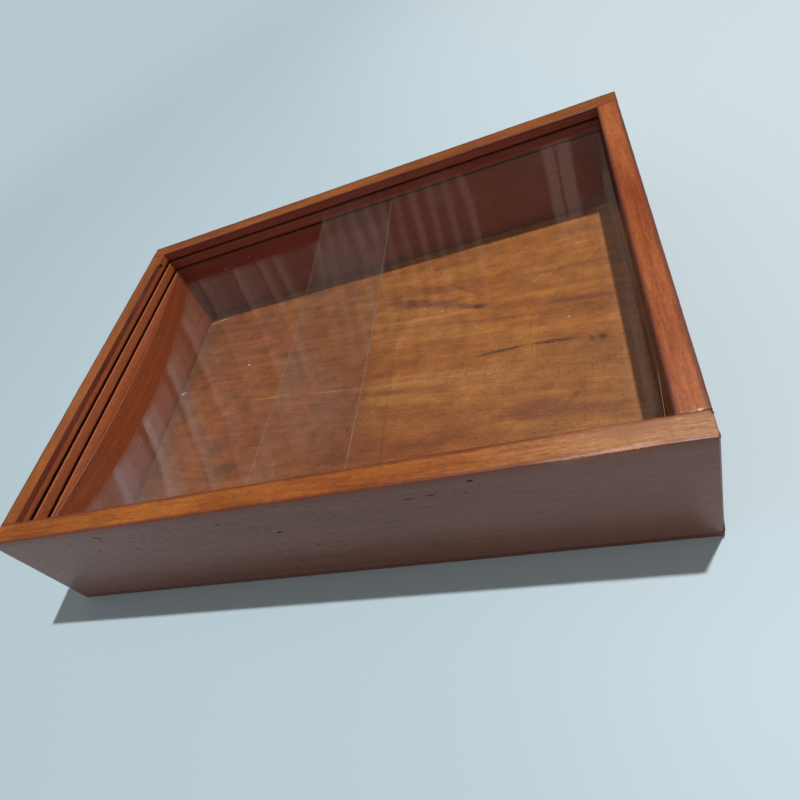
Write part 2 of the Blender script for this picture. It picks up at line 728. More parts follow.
# Floor sheet: one piece of plywood with a stained veneer face
sheetLook = {
    "grainTurn": -6.5,  # degrees from the long side
    "dark": tone(124, 66, 28),
    "middle": tone(180, 106, 40),
    "light": tone(214, 148, 72),
    "rosy": tone(146, 72, 34),  # the left half is redder
    "olive": tone(156, 104, 48),
    "fibreContrast": 0.90,
    "gritContrast": 1.1,
    "mottleContrast": 0.7,
    "leftShade": 0.08,
    "wallShade": 0.14,
    "rightGlow": 0.30,
    "chalk": tone(236, 198, 146),
    "red": tone(136, 62, 30),
    "purple": tone(104, 50, 44),
    "pale": tone(218, 158, 92),
    "pore": tone(52, 26, 14),
    "crack": tone(60, 26, 14),
    "knot": tone(92, 60, 42),
    "knotRing": tone(98, 46, 26),
    "speck": tone(238, 226, 204),
    "edgeTones": (tone(92, 42, 26), tone(122, 60, 40), tone(150, 84, 56)),
    "plyGap": 1.66,  # mm, thickness of one layer
    "scales": {  # per mm along the fibres, across and deep
        "sway": (0.005, 0.008, 0.01),
        "wobble": (0.02, 0.10, 1.0),
        "broad": (0.003, 0.035, 1.0),
        "bands": (0.004, 0.17, 1.0),
        "fibre": (0.035, 0.95, 1.0),
        "grit": (0.25, 1.0, 1.0),
        "patch": (0.012, 0.018, 0.01),
        "mottle": (0.06, 0.09, 0.06),
        "breakUp": (0.10, 0.7, 1.0),
        "torn": (0.26, 0.9, 1.0),
        "redPatch": (0.006, 0.05, 1.0),
        "cloudy": (0.045, 0.06, 0.05),
        "dense": (0.012, 0.02, 0.01),
        "pore": (0.24, 1.5, 1.0),
        "smallPore": (0.50, 1.9, 1.0),
        "hatch": (0.34, 1.7, 1.0),
    },
    "bareTones": (tone(140, 102, 66), tone(178, 142, 100), tone(206, 174, 132)),
    "grime": tone(112, 84, 60),
    "runIn": tone(118, 62, 38),  # stain that ran in from the edges
    "barePore": tone(92, 62, 40),
    "cornerRound": 1.0,
    "edgeStep": 4.0,
    "edgeRough": 0.22,
    # height and how far the edge is drawn in there, from the underside up
    "edgeOutline": [
        (0.0, 1.3), (0.3, 0.6), (1.0, 0.0), (2.4, 0.0), (3.7, 0.0), (4.85, 0.0), (5.0, 0.12),
    ],
    # countersunk places for the nail heads
    "sinkMouth": 2.15,
    "sinkFloor": 2.0,
    "sinkDepth": 1.5,
    "sinkSides": 24,
    "sharpDegrees": 30.0,
}

# centre x, y, half length, half width, turn, strength, softness
sheetMarks = {
    "pale": [
        (-107.0, 5.0, 22.0, 0.9, -4.0, 0.6, 0.6),
        (-40.0, -4.0, 44.0, 0.9, -8.0, 0.42, 0.6),
        (25.0, -12.5, 34.0, 1.8, -6.0, 0.5, 0.7),
        (80.0, -17.0, 36.0, 1.4, -4.0, 0.4, 0.7),
        (147.0, 8.0, 21.0, 0.4, -92.1, 0.6, 0.4),
        (38.0, 64.0, 46.0, 2.4, -6.4, 0.35, 0.7),
        (-20.0, 122.0, 60.0, 4.0, 6.0, 0.2, 0.8),
        (152.0, 79.0, 4.0, 0.9, 32.0, 0.7, 0.5),
        (158.0, 83.5, 2.6, 0.7, 46.0, 0.6, 0.5),
        (163.5, 83.0, 3.4, 0.8, 24.0, 0.6, 0.5),
        (170.0, 88.0, 3.2, 0.7, 38.0, 0.5, 0.5),
        (176.0, 91.0, 2.2, 0.6, 15.0, 0.5, 0.5),
        (-228.0, 137.0, 7.0, 1.2, 60.0, 0.8, 0.6),
        (-214.0, 149.0, 13.0, 1.3, 8.0, 0.9, 0.6),
    ],
    "red": [
        (17.0, -20.0, 62.0, 3.0, -6.9, 0.8, 0.7),
        (-20.0, -31.0, 60.0, 2.6, -8.0, 0.6, 0.7),
        (61.0, -29.0, 16.0, 3.0, -3.0, 0.6, 0.7),
        (144.0, -69.0, 22.0, 9.0, -4.0, 1.0, 0.6),
        (98.0, -72.0, 40.0, 5.5, 4.0, 0.8, 0.7),
        (40.0, -84.0, 60.0, 8.0, -4.0, 0.5, 0.8),
        (170.0, -65.0, 18.0, 2.4, 51.0, 0.8, 0.6),
        (84.0, 93.0, 22.0, 1.3, -39.0, 0.9, 0.6),
        (86.0, 114.0, 19.0, 1.0, 20.0, 0.5, 0.6),
        (52.0, 104.0, 16.0, 6.0, -24.0, 0.8, 0.7),
        (-138.0, -31.0, 40.0, 14.0, -8.0, 0.4, 0.8),
        (190.0, -110.0, 40.0, 9.0, 10.0, 0.35, 0.8),
        (132.0, -46.0, 34.0, 8.0, -5.0, 0.35, 0.9),
        (76.0, -70.0, 46.0, 14.0, -5.0, 0.7, 0.9),
        (100.0, 44.0, 108.0, 1.0, -10.7, 0.6, 0.6),
        (60.0, 30.0, 90.0, 1.2, -8.0, 0.4, 0.6),
        (-60.0, -15.0, 40.0, 1.0, -9.0, 0.7, 0.6),
        (-60.0, -26.0, 42.0, 1.1, -14.0, 0.8, 0.6),
        (-48.0, -58.0, 24.0, 3.0, 80.0, 0.45, 0.8),
    ],
    "purple": [
        (40.0, 88.0, 38.0, 6.0, -20.0, 0.9, 0.7),
        (92.0, 66.0, 20.0, 3.4, -18.0, 0.8, 0.7),
        (186.0, 42.0, 26.0, 2.8, -9.0, 0.7, 0.6),
        (-76.0, 34.0, 19.0, 13.0, -40.0, 0.6, 0.9),
        (-60.0, 22.0, 12.0, 9.0, -20.0, 0.35, 0.9),
        (-206.0, 9.0, 10.0, 6.0, -20.0, 0.7, 0.8),
        (-186.0, -12.0, 13.0, 6.0, -30.0, 0.35, 0.9),
        (-152.0, -48.0, 10.0, 5.0, 10.0, 0.7, 0.8),
        (-190.0, -78.0, 16.0, 5.0, -10.0, 0.4, 0.8),
        (-216.0, -50.0, 8.0, 5.0, 60.0, 0.6, 0.8),
    ],
    "crack": [
        (121.0, 1.0, 19.0, 1.7, 0.0, 1.0, 0.5),
        (108.0, 0.2, 11.0, 0.9, 4.0, 0.9, 0.5),
        (161.0, -1.0, 16.0, 2.0, -5.0, 1.0, 0.5),
        (98.2, 62.6, 6.5, 2.8, -14.0, 0.9, 0.7),
        (191.0, -7.0, 2.4, 2.6, 0.0, 0.8, 0.6),
        (199.0, -7.5, 3.2, 3.4, 10.0, 0.9, 0.6),
        (-49.6, 32.0, 1.4, 1.2, 0.0, 1.0, 0.5),
        (-58.8, 21.5, 1.1, 0.9, 0.0, 0.7, 0.5),
        (-15.4, -53.4, 1.5, 1.6, 20.0, 1.0, 0.5),
        (-143.3, 30.5, 1.2, 1.0, 0.0, 0.8, 0.5),
        (-185.6, 42.0, 2.4, 0.7, 30.0, 0.9, 0.5),
        (213.0, 62.0, 2.0, 0.7, 40.0, 0.6, 0.5),
        (208.8, 98.5, 11.0, 0.45, 46.0, 0.6, 0.6),
        (203.0, 92.0, 9.0, 0.4, 34.0, 0.5, 0.6),
        (180.0, -74.0, 6.0, 0.4, -60.0, 0.5, 0.6),
        (-60.0, -20.5, 36.0, 0.35, -11.0, 0.6, 0.6),
    ],
    "speck": [
        (-148.0, 60.0, 1.12, 0.9, 0.0, 1.0, 0.4),
        (-149.0, 65.0, 0.68, 0.6, 0.0, 0.7, 0.4),
        (-226.0, 39.0, 3.75, 0.75, 24.4, 0.9, 0.5),
        (176.0, 23.0, 0.75, 0.75, 0.0, 0.9, 0.4),
        (108.0, -22.0, 0.75, 0.6, 0.0, 0.6, 0.4),
        (115.0, -94.0, 0.6, 0.52, 0.0, 0.8, 0.4),
        (6.7, 150.0, 0.83, 0.75, 0.0, 0.6, 0.4),
        (49.7, 137.0, 0.52, 0.45, 0.0, 0.6, 0.4),
        (64.4, 68.4, 0.6, 0.75, 0.0, 0.8, 0.4),
        (-229.0, 134.0, 1.05, 1.65, 0.0, 0.5, 0.5),
        (-223.0, 147.0, 1.8, 0.75, 30.0, 0.5, 0.5),
    ],
}


# centre x, y, half length, half width, strength
sheetKnots = [
    (-135.0, -72.0, 13.0, 7.5, 0.8),
    (-214.0, -78.0, 12.0, 9.0, 0.4),
]

# where the figure changes: centre x, y, half length, half width, turn, softness
sheetRegions = {
    "arch": (74.0, 104.0, 95.0, 34.0, -6.0, 0.9),
    "curl": (-139.0, -71.0, 40.0, 24.0, -8.0, 0.9),
    "packed": (150.0, -28.0, 90.0, 22.0, -5.0, 0.8),
    "corner": (190.0, -95.0, 70.0, 50.0, 0.0, 0.9),
    "chalkRow": (38.0, 79.0, 46.0, 3.4, -17.0, 0.5),
}


def sheetSpot(finish, place, x, y, long, wide, turn, soft):
    # reaches right through the sheet
    return finish.spot(place, (x, y, case["sheet"]), (long, wide, 400.0), (0.0, 0.0, turn), soft)


def sheetMask(finish, place, key):
    marks = []
    for x, y, long, wide, angle, strength, soft in sheetMarks[key]:
        marks.append(((x, y, case["sheet"]), (long, wide), angle, strength, soft))
    return finish.spots(place, marks)


def veneerFinish():
    finish = Finish("stainedVeneer")
    look = sheetLook
    scales = look["scales"]
    place = finish.place()
    x, y = finish.axes(place)[:2]
    turned = math.radians(look["grainTurn"])
    along = x * math.cos(turned) + y * math.sin(turned)
    across = y * math.cos(turned) - x * math.sin(turned)
    sway = finish.noise(place, scales["sway"], 2.0) - 0.5
    across = across + sway * 9.0
    # the figure opens out in an arch towards the back, and the fibres turn round the knot
    arch = sheetSpot(finish, place, *sheetRegions["arch"])
    curl = sheetSpot(finish, place, *sheetRegions["curl"])
    across = across + arch * 12.0 + curl * 10.0
    grain = finish.vector(along, across, 0.0)
    wobble = finish.noise(grain, scales["wobble"], 2.0) - 0.5
    bent = finish.vector(along, across + wobble * 1.4, 0.0)
    broad = finish.noise(bent, scales["broad"], 2.0, 0.5)
    bands = finish.noise(bent, scales["bands"], 3.0, 0.55)
    fibre = finish.noise(bent, scales["fibre"], 3.0, 0.62)
    grit = finish.noise(bent, scales["grit"], 3.0, 0.75)
    patch = finish.noise(place, scales["patch"], 3.0, 0.55)
    mottle = finish.noise(place, scales["mottle"], 3.0, 0.6)
    shade = 0.5 + (broad - 0.5) * 0.6 + (bands - 0.5) * 0.26
    shade = shade + (fibre - 0.5) * 0.14 + (grit - 0.5) * 0.16
    shade = shade + (patch - 0.5) * 0.7 + (mottle - 0.5) * 0.34
    stops = [(0.12, look["dark"]), (0.5, look["middle"]), (0.88, look["light"])]
    colour = finish.node("ShaderNodeValToRGB", {"stops": stops}, {0: shade}, "Color")
    rosy = (x + y * 0.4 + (patch - 0.5) * 160.0).step(70.0, -60.0) * 0.66
    colour = finish.mix(rosy, colour, look["rosy"])
    # marks follow the grain's small waves
    shift = finish.vector(0.0, wobble * 2.4 + (bands - 0.5) * 2.0, 0.0)
    drawn = finish.node("ShaderNodeVectorMath", {"operation": "ADD"}, {0: place, 1: shift})
    breakUp = finish.noise(bent, scales["breakUp"], 3.0, 0.6)
    torn = finish.noise(bent, scales["torn"], 2.0, 0.7)
    redPatch = finish.noise(bent, scales["redPatch"], 2.0).step(0.52, 0.70)
    red = sheetMask(finish, drawn, "red").orMore(redPatch * 0.4)
    colour = finish.mix(red * breakUp.step(0.3, 0.6, 0.55, 1.0) * 0.9, colour, look["red"])
    purple = sheetMask(finish, drawn, "purple")
    colour = finish.mix(purple * breakUp.step(0.3, 0.62, 0.5, 0.95), colour, look["purple"])
    pale = sheetMask(finish, drawn, "pale")
    colour = finish.mix(pale * breakUp.step(0.25, 0.5, 0.3, 1.0), colour, look["pale"])
    contrast = 1.0 + (fibre - 0.5) * look["fibreContrast"] + (grit - 0.5) * look["gritContrast"]
    contrast = contrast + (mottle - 0.5) * look["mottleContrast"] + (bands - 0.5) * 0.25
    # the left half has the stronger figure
    figure = (fibre - 0.5) * 0.15 + (bands - 0.5) * 0.5 + (mottle - 0.5) * 0.25
    contrast = contrast + figure * x.step(20.0, -60.0)
    contrast = contrast - x.step(-60.0, -215.0) * look["leftShade"]
    contrast = contrast - x.step(-185.0, -222.0) * look["wallShade"]
    contrast = contrast + x.step(210.0, 216.0) * look["rightGlow"]
    colour = finish.mix(1.0, colour, finish.vector(contrast, contrast, contrast), "MULTIPLY")
    # the left third is clouded in greyer patches
    cloudy = finish.noise(place, scales["cloudy"], 3.0, 0.6)
    clouded = cloudy.step(0.50, 0.66) * (x + (patch - 0.5) * 120.0).step(-50.0, -150.0)
    colour = finish.mix(clouded * 0.35, colour, look["knot"])
    colour = finish.mix(x.step(-200.0, -226.0) * 0.4, colour, look["knot"])
    # open pores, close together in some bands and sparse in others
    dense = finish.noise(place, scales["dense"], 2.0).step(0.40, 0.66) * 0.7
    packed = sheetSpot(finish, place, *sheetRegions["packed"])
    corner = sheetSpot(finish, place, *sheetRegions["corner"])
    dense = dense.orMore(packed).orMore(corner * 0.85)
    colour = finish.mix(dense * 0.30, colour, look["olive"])
    pore = finish.pores(bent, scales["pore"], (0.46, 0.18), (0.50, 0.70))
    pore = pore * (0.25 + 0.75 * dense)
    smallDistance, smallOwn = finish.cells(bent, scales["smallPore"])
    smallPore = smallDistance.step(0.42, 0.15) * smallOwn.step(0.3, 0.5)
    poreMask = (pore * 0.62).orMore(smallPore * (0.14 + 0.42 * dense))
    colour = finish.mix(poreMask, colour, look["pore"])
    chalk = smallDistance.step(0.32, 0.12) * smallOwn.step(0.30, 0.12)
    row = sheetSpot(finish, drawn, *sheetRegions["chalkRow"])
    chalk = chalk * (0.30 + row * 0.7) + row * torn.step(0.56, 0.68) * 0.6
    colour = finish.mix(chalk.orLess(1.0), colour, look["chalk"])
    crack = sheetMask(finish, drawn, "crack")
    hatch = finish.noise(bent, scales["hatch"], 2.0, 0.6)
    crackMask = crack * (hatch * 0.75 + breakUp * 0.25).step(0.42, 0.53, 0.15, 0.95)
    colour = finish.mix(crackMask, colour, look["crack"])
    # two faint knots near the left front corner: a clouded eye, and fibres that curl round it
    for centreX, centreY, long, wide, strength in sheetKnots:
        away = sheetSpot(finish, drawn, centreX, centreY, long * 2.3, wide * 2.3, 4.0, 0.9)
        eye = sheetSpot(finish, drawn, centreX, centreY, long, wide, 4.0, 0.8)
        rings = (away * 34.0 + wobble * 14.0 + mottle * 6.0).sine() * 0.5 + 0.5
        curl = away * rings * mottle.step(0.35, 0.65, 0.3, 1.0)
        colour = finish.mix(curl * 0.4 * strength, colour, look["knotRing"])
        clouded = eye * (mottle * 0.5 + grit * 0.5).step(0.35, 0.6, 0.35, 1.0)
        colour = finish.mix(clouded * strength, colour, look["knot"])
    speck = sheetMask(finish, place, "speck")
    colour = finish.mix(speck * torn.step(0.2, 0.4, 0.6, 1.0), colour, look["speck"])
    rough = fibre * 0.2 + 0.38 + poreMask * 0.2 + speck * 0.2
    height = fibre * 0.35 + grit * 0.25 - poreMask * 0.9 - crackMask * 2.0 + speck * 1.2
    normal = finish.bump(height * 0.14 + broad * 0.3, 0.5)
    values = {"Base Color": colour, "Roughness": rough, "Normal": normal}
    values.update({"Coat Weight": 0.06, "Coat Roughness": 0.25, "IOR": 1.45})
    return finish.finish(finish.node("ShaderNodeBsdfPrincipled", None, values))


def plyEdgeFinish():
    finish = Finish("stainedPlyEdge")
    place = finish.place()
    z = finish.axes(place)[2]
    ply = (z * (2 * math.pi / sheetLook["plyGap"])).sine() * 0.5 + 0.5
    end = finish.noise(place, (0.5, 0.5, 1.4), 3.0, 0.6)
    streak = finish.noise(place, (0.03, 0.03, 2.0), 3.0, 0.6)
    shade = 0.5 + (ply - 0.5) * 0.22 + (end - 0.5) * 0.4 + (streak - 0.5) * 0.5
    stops = list(zip((0.15, 0.5, 0.9), sheetLook["edgeTones"]))
    colour = finish.node("ShaderNodeValToRGB", {"stops": stops}, {0: shade}, "Color")
    normal = finish.bump(ply * 0.3 + end * 0.4, 0.4)
    rough = 0.30 + end * 0.16
    values = {"Base Color": colour, "Roughness": rough, "Normal": normal, "IOR": 1.5}
    return finish.finish(finish.node("ShaderNodeBsdfPrincipled", None, values))


def rawPlyFinish():
    finish = Finish("bareUnderside")
    place = finish.place()
    x, y = finish.axes(place)[:2]
    sway = finish.noise(place, (0.006, 0.01, 0.01), 2.0) - 0.5
    grain = finish.vector(x + 400.0, y + sway * 20.0, 0.0)
    bands = finish.noise(grain, (0.006, 0.16, 1.0), 4.0, 0.6)
    fibre = finish.noise(grain, (0.04, 1.3, 1.0), 4.0, 0.65)
    pore = finish.pores(grain, (0.16, 1.5, 1.0), (0.34, 0.12), (0.5, 0.7))
    grime = finish.noise(place, (0.02, 0.02, 0.02), 4.0, 0.6)
    shade = 0.5 + (bands - 0.5) * 0.9 + (fibre - 0.5) * 0.6
    stops = list(zip((0.2, 0.5, 0.85), sheetLook["bareTones"]))
    colour = finish.node("ShaderNodeValToRGB", {"stops": stops}, {0: shade}, "Color")
    colour = finish.mix(grime.step(0.52, 0.8) * 0.45, colour, sheetLook["grime"])
    reach = 13.0  # mm from the edge
    fromEndX = (abs(x) - (case["halfLength"] - reach)).step(0.0, reach)
    fromEndY = (abs(y) - (case["halfWidth"] - reach)).step(0.0, reach)
    runIn = fromEndX.orMore(fromEndY) * grime.step(0.35, 0.6)
    colour = finish.mix(runIn * 0.8, colour, sheetLook["runIn"])
    colour = finish.mix(pore * 0.5, colour, sheetLook["barePore"])
    normal = finish.bump(fibre * 0.4 - pore * 0.6, 0.12)
    values = {"Base Color": colour, "Roughness": 0.72 - runIn * 0.2, "Normal": normal}
    return finish.finish(finish.node("ShaderNodeBsdfPrincipled", None, values))


floorNailHeads = []
for nodeName in sorted(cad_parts):
    if "floor_nail" in nodeName:
        lowest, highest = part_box(nodeName)
        floorNailHeads.append(((lowest.x + highest.x) / 2 / mm, (lowest.y + highest.y) / 2 / mm))


def makeSheet(materials):
    halfX, halfY = case["halfLength"], case["halfWidth"]
    outline = []
    corner = sheetLook["cornerRound"]
    step = sheetLook["edgeStep"]
    turns = [(1, -1, 270), (1, 1, 0), (-1, 1, 90), (-1, -1, 180)]
    for i, (sideX, sideY, start) in enumerate(turns):
        cx, cy = sideX * (halfX - corner), sideY * (halfY - corner)
        outline += arc(cx, cy, corner, start, start + 90, 5)
        nextX, nextY, nextStart = turns[(i + 1) % 4]
        nextCentre = (nextX * (halfX - corner), nextY * (halfY - corner))
        ahead = arc(*nextCentre, corner, nextStart, nextStart, 1)[0]
        here = outline[-1]
        pieces = int(math.dist(here, ahead) // step)
        for t in np.linspace(0, 1, pieces + 1)[1:-1]:
            outline.append((here[0] + (ahead[0] - here[0]) * t, here[1] + (ahead[1] - here[1]) * t))
    work = bmesh.new()
    rings = []
    count = len(outline)
    for level, (z, pull) in enumerate(sheetLook["edgeOutline"]):
        ring = []
        for x, y in outline:
            rough = sheetLook["edgeRough"] * abs(ripple(x / 6 + y / 5, level * 1.3, 21))
            keepX = (halfX - pull - rough) / halfX
            keepY = (halfY - pull - rough) / halfY
            ring.append(work.verts.new((x * keepX * mm, y * keepY * mm, z * mm)))
        rings.append(ring)
    for lower, upper in zip(rings, rings[1:]):
        for i in range(count):
            k = (i + 1) % count
            face = work.faces.new((lower[i], lower[k], upper[k], upper[i]))
            face.material_index = 1
    top = work.faces.new(rings[-1])
    top.material_index = 0
    # the underside, with a countersunk place for each nail head
    edges = []
    for i in range(count):
        edges.append(work.edges.get((rings[0][i], rings[0][(i + 1) % count])))
    sides = sheetLook["sinkSides"]

    def sinkRing(cx, cy, radius, depth):
        turned = arc(cx, cy, radius, 0, 360 - 360 / sides, sides)
        return [work.verts.new((a * mm, b * mm, depth * mm)) for a, b in turned]

    for cx, cy in floorNailHeads:
        mouth = sinkRing(cx, cy, sheetLook["sinkMouth"], 0.0)
        deep = sinkRing(cx, cy, sheetLook["sinkFloor"], sheetLook["sinkDepth"])
        for i in range(sides):
            k = (i + 1) % sides
            edges.append(work.edges.new((mouth[i], mouth[k])))
            work.faces.new((mouth[k], mouth[i], deep[i], deep[k])).material_index = 2
        work.faces.new(deep).material_index = 2
    filled = bmesh.ops.triangle_fill(work, edges=edges, use_beauty=True, use_dissolve=False)
    for found in filled["geom"]:
        if isinstance(found, bmesh.types.BMFace):
            found.material_index = 2
    bmesh.ops.recalc_face_normals(work, faces=work.faces[:])
    mesh = bpy.data.meshes.new("floorSheet")
    for material in materials:
        mesh.materials.append(material)
    work.to_mesh(mesh)
    work.free()
    mesh.shade_smooth()
    mesh.set_sharp_from_angle(angle=math.radians(sheetLook["sharpDegrees"]))
    piece = bpy.data.objects.new("floorSheet", mesh)
    bpy.context.scene.collection.objects.link(piece)
    return piece


sheet = makeSheet([veneerFinish(), plyEdgeFinish(), rawPlyFinish()])
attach(sheet, "case")
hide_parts("floor_sheet")
print("floor sheet made")


class Tree:  # a Geometry Nodes tree with named inputs
    def __init__(self, name, inputs):
        self.group = bpy.data.node_groups.new(name, "GeometryNodeTree")
        face = self.group.interface
        face.new_socket(name="Geometry", in_out="INPUT", socket_type="NodeSocketGeometry")
        self.keys = {}
        for label, kind in inputs.items():
            made = face.new_socket(name=label, in_out="INPUT", socket_type=kind)
            self.keys[label] = made.identifier
        face.new_socket(name="Geometry", in_out="OUTPUT", socket_type="NodeSocketGeometry")
        self.entry = self.group.nodes.new("NodeGroupInput")

    def input(self, label):
        return self.entry.outputs[label]

    def node(self, kind, settings=None, values=None, out=0):
        made = self.group.nodes.new(kind)
        for key, value in (settings or {}).items():
            setattr(made, key, value)
        for key, value in (values or {}).items():
            if isinstance(value, bpy.types.NodeSocket):
                self.group.links.new(value, made.inputs[key])
            elif isinstance(value, list):
                for part in value:
                    self.group.links.new(part, made.inputs[key])
            else:
                made.inputs[key].default_value = value
        return made.outputs[out]

    def sum(self, operation, first, second=0.0):
        return self.node("ShaderNodeMath", {"operation": operation}, {0: first, 1: second})

    def end(self, geometry):
        exitNode = self.group.nodes.new("NodeGroupOutput")
        self.group.links.new(geometry, exitNode.inputs[0])

    def grow(self, name, points, values):
        # runs the tree on loose points and keeps the plain mesh
        seed = bpy.data.meshes.new(name + "Points")
        seed.from_pydata(points, [], [])
        holder = bpy.data.objects.new(name + "Holder", seed)
        bpy.context.scene.collection.objects.link(holder)
        modifier = holder.modifiers.new("grow", "NODES")
        modifier.node_group = self.group
        for label, value in values.items():
            modifier[self.keys[label]] = value
        bpy.context.view_layer.update()
        evaluated = holder.evaluated_get(bpy.context.evaluated_depsgraph_get())
        mesh = bpy.data.meshes.new_from_object(evaluated)
        mesh.name = name
        bpy.data.objects.remove(holder)
        piece = bpy.data.objects.new(name, mesh)
        bpy.context.scene.collection.objects.link(piece)
        return piece


# Nails: turned from a head, a shank and a point, one at each place that the solids give
nailLook = {
    "floorNail": {"length": 20.0, "shank": 0.8, "head": 1.9, "headHeight": 0.9, "tip": 2.0},
    "cornerNail": {"length": 38.0, "shank": 0.9, "head": 1.3, "headHeight": 1.4, "tip": 2.5},
    "sides": 20,
    "headEdge": 0.3,  # share of the head's height that is bevelled
    "underHead": 0.84,  # the bevel's small end, as a share of the head
    "tipRadius": 0.08,
    "steelTones": (tone(150, 148, 144), tone(104, 100, 96)),
    "rust": tone(112, 62, 36),
    "sharpDegrees": 30.0,
}


def steelFinish():
    finish = Finish("dulledNailSteel")
    place = finish.place()
    cloud = finish.noise(place, (0.9, 0.9, 0.9), 4.0, 0.65)
    fine = finish.noise(place, (6.0, 6.0, 6.0), 2.0)
    colour = finish.mix(cloud.step(0.3, 0.7), *nailLook["steelTones"])
    rust = cloud.step(0.60, 0.75) * fine.step(0.35, 0.6)
    colour = finish.mix(rust * 0.8, colour, nailLook["rust"])
    normal = finish.bump(fine * 0.5 + cloud * 0.5, 0.05)
    rough = 0.34 + fine * 0.15 + rust * 0.35
    metal = 1.0 - rust * 0.8
    values = {"Base Color": colour, "Metallic": metal, "Roughness": rough, "Normal": normal}
    return finish.finish(finish.node("ShaderNodeBsdfPrincipled", None, values))


def nailTree(material):
    number, turn = "NodeSocketFloat", "NodeSocketVector"
    labels = ("Length", "Shank Radius", "Head Radius", "Head Height", "Tip Length")
    tree = Tree("nailOnPoints", {**{label: number for label in labels}, "Turn": turn})
    length, shank, head, headHeight, tip = [tree.input(label) for label in labels]
    sides = nailLook["sides"]

    def lifted(geometry, height):
        move = tree.node("ShaderNodeCombineXYZ", None, {2: height})
        return tree.node("GeometryNodeTransform", None, {"Geometry": geometry, "Translation": move})

    bevel = tree.sum("MULTIPLY", headHeight, nailLook["headEdge"])
    rest = tree.sum("SUBTRACT", headHeight, bevel)
    narrow = tree.sum("MULTIPLY", head, nailLook["underHead"])
    values = {"Vertices": sides, "Radius Top": head, "Radius Bottom": narrow, "Depth": bevel}
    headEdge = tree.node("GeometryNodeMeshCone", None, values)
    values = {"Vertices": sides, "Radius": head, "Depth": rest}
    headMiddle = tree.sum("ADD", tree.sum("MULTIPLY", rest, 0.5), bevel)
    headBody = lifted(tree.node("GeometryNodeMeshCylinder", None, values), headMiddle)
    straight = tree.sum("SUBTRACT", tree.sum("SUBTRACT", length, tip), bevel)
    values = {"Vertices": sides, "Radius": shank, "Depth": straight}
    middle = tree.sum("ADD", tree.sum("MULTIPLY", straight, 0.5), bevel)
    body = lifted(tree.node("GeometryNodeMeshCylinder", None, values), middle)
    tipRadius = nailLook["tipRadius"] * mm
    values = {"Vertices": sides, "Radius Top": tipRadius, "Radius Bottom": shank, "Depth": tip}
    tipStart = tree.sum("SUBTRACT", length, tip)
    point = lifted(tree.node("GeometryNodeMeshCone", None, values), tipStart)
    nail = tree.node("GeometryNodeJoinGeometry", None, {0: [headEdge, headBody, body, point]})
    turned = tree.node("GeometryNodeTransform", None, {"Geometry": nail, "Rotation": tree.input("Turn")})
    values = {"Points": tree.input("Geometry"), "Instance": turned}
    placed = tree.node("GeometryNodeInstanceOnPoints", None, values)
    real = tree.node("GeometryNodeRealizeInstances", None, {0: placed})
    tree.end(tree.node("GeometryNodeSetMaterial", None, {"Geometry": real, "Material": material}))
    return tree


def makeNails():
    tree = nailTree(steelFinish())
    rows = {
        "floorNails": ("floorNail", "floor_nail", (0.0, 0.0, 0.0), None),
        "frontCornerNails": ("cornerNail", "corner_nail", (-90.0, 0.0, 0.0), "front"),
        "backCornerNails": ("cornerNail", "corner_nail", (90.0, 0.0, 0.0), "back"),
    }
    for name, (size, ending, turn, side) in rows.items():
        nodes = [n for n in sorted(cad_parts) if ending in n and (side is None or side in n)]
        points = []
        for node in nodes:
            lowest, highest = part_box(node)
            point = (lowest + highest) / 2
            if side is None:
                point.z = lowest.z
            else:
                point.y = lowest.y if side == "front" else highest.y
            points.append(point)
        nail = nailLook[size]
        values = {
            "Length": nail["length"] * mm,
            "Shank Radius": nail["shank"] * mm,
            "Head Radius": nail["head"] * mm,
            "Head Height": nail["headHeight"] * mm,
            "Tip Length": nail["tip"] * mm,
            "Turn": [math.radians(a) for a in turn],
        }
        piece = tree.grow(name, points, values)
        piece.data.shade_smooth()
        piece.data.set_sharp_from_angle(angle=math.radians(nailLook["sharpDegrees"]))
        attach(piece, "case")
        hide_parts(*nodes)


makeNails()
print("nails made")


# Panes: thin clear plastic that hangs in a shallow curve between the grooves
paneLook = {
    "thickness": 2.0,
    "halfWidth": 168.0,
    "arris": 0.25,
    "bends": 121,
    "clear": (0.975, 0.98, 0.98, 1.0),
    "facing": 0.045,  # share mirrored by each face, seen square on
    "grazing": 0.75,
    "gloss": 0.03,
    "shaded": (0.74, 0.71, 0.68, 1.0),
    "shadedFrom": (0.9, 0.5),  # mm before the right end, where the dark line comes up
    "dust": (0.75, 0.74, 0.72, 1.0),
    "sawnTones": (tone(184, 168, 150), tone(232, 218, 200)),
    "sawnClear": (0.93, 0.94, 0.94, 1.0),
    "sawnFacing": 0.35,  # faces that look this much sideways are the sawn ends
    "sharpDegrees": 15.0,
}

# Each pane's place, sag and cut, and how much the sawn face and the arrises show at each end
panes = {
    # its free left end sags most
    "lowerPane": {
        "node": "lower_pane", "left": -227.0, "length": 261.0, "underside": 74.8,
        "leftSag": 10.0, "rightSag": 5.6, "cutDepth": 0.0, "cutLength": 54.0,
        "leftEdge": (0.04, 0.60), "rightEdge": (0.26, 0.52), "endShade": 0.5,
    },
    # its right front corner is cut back
    "upperPane": {
        "node": "upper_pane", "left": -33.0, "length": 260.0, "underside": 86.7,
        "leftSag": 7.0, "rightSag": 7.0, "cutDepth": 3.3, "cutLength": 54.0,
        "leftEdge": (0.05, 0.26), "rightEdge": (0.10, 0.30), "endShade": 0.3,
    },
}


